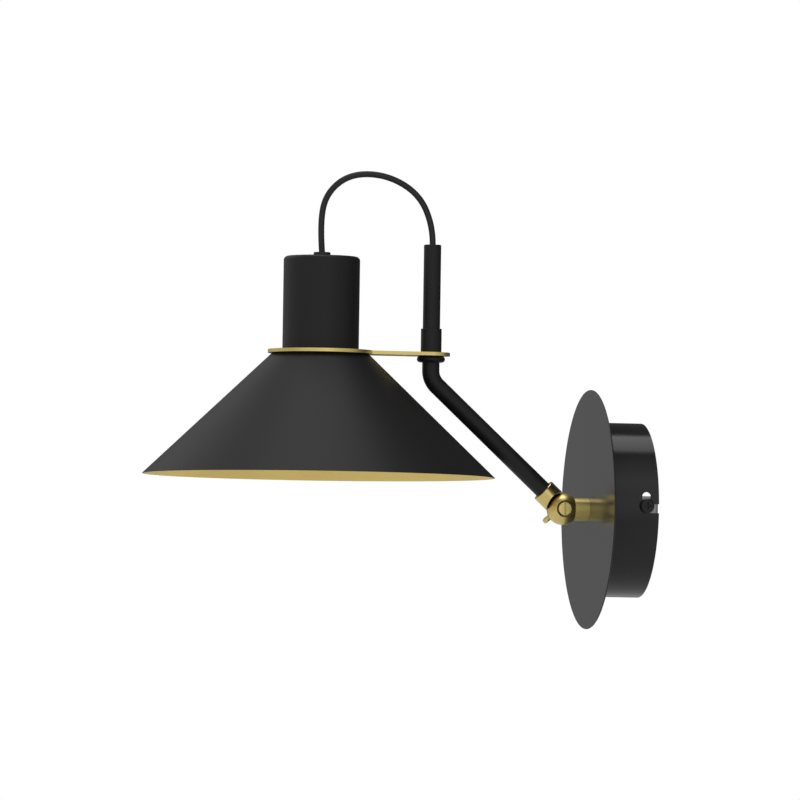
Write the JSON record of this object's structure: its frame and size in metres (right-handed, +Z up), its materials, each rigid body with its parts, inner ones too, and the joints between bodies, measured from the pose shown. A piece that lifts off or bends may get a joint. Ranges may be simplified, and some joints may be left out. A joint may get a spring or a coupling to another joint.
{
  "type": "wall lamp",
  "caption": "Black wall lamp with a cone shade on a bent arm: the arm tilts at a brass knuckle with a wing nut, and the shade swivels on the upright post of the arm.",
  "frame": {"origin": "middle of the canopy on the wall plane", "axes": "+Y into the wall, +Z up, the lamp reaches out along -Y"},
  "size_m": [0.254, 0.3637, 0.327],
  "materials": {
    "black_paint": "satin black powder coat",
    "shade_paint": "satin black outside, gold lacquer inside",
    "brass": "brushed brass",
    "zinc": "zinc plated",
    "dark_screw": "black oxide",
    "white_plastic": "matt",
    "black_plastic": "matt",
    "core_plastic": "insulated wire",
    "fibre": "fibre",
    "cord": "smooth black sheath"
  },
  "bodies": {
    "canopy": {"wall_bracket": "zinc", "side_screws": "dark_screw", "earth_washer": "zinc", "earth_screw": "brass", "terminal_block": "white_plastic", "terminal_sleeves": "brass", "clamp_screws": "zinc", "block_screw": "zinc", "canopy_drum": "black_paint", "canopy_disc": "black_paint", "stem_nipple": "zinc", "stem_washer": "zinc", "stem_nut": "zinc", "canopy_cable": "cord", "cable_cores": "core_plastic", "knuckle_base": "brass", "friction_ring": "fibre", "pivot_screw": "brass"},
    "wing": {"wing_nut": "brass"},
    "arm": {"knuckle_arm": "brass", "wing_washer": "brass", "arm_tube": "black_paint", "post_bush": "black_plastic", "stop_collar": "black_paint", "arm_cable": "cord"},
    "head": {"bracket_plate": "brass", "hub_sleeve": "black_paint", "lamp_cup": "black_paint", "cord_grip": "black_plastic", "cap_nipple": "zinc", "shade": "shade_paint", "shade_ring": "black_plastic", "lampholder_body": "black_plastic", "lampholder_cap": "black_plastic", "screw_shell": "brass", "contact_base": "white_plastic", "holder_screws": "zinc", "centre_contact": "brass", "holder_cable": "cord", "loop_cord": "cord"}
  },
  "joints": [
    {"name": "arm_tilt", "type": "hinge", "parent": "canopy", "child": "arm", "pos_m": [0, -0.0568, 0], "axis": [1, 0, 0], "range_deg": [-30, 60]},
    {"name": "head_swivel", "type": "hinge", "parent": "arm", "child": "head", "pos_m": [0, -0.15555, 0.10824], "axis": [0, 0, 1], "range_deg": [-45, 45]},
    {"name": "wing_nut_turn", "type": "hinge", "parent": "canopy", "child": "wing", "pos_m": [-0.01, -0.0568, 0], "axis": [-1, 0, 0], "range_deg": [0, 360]}
  ]
}
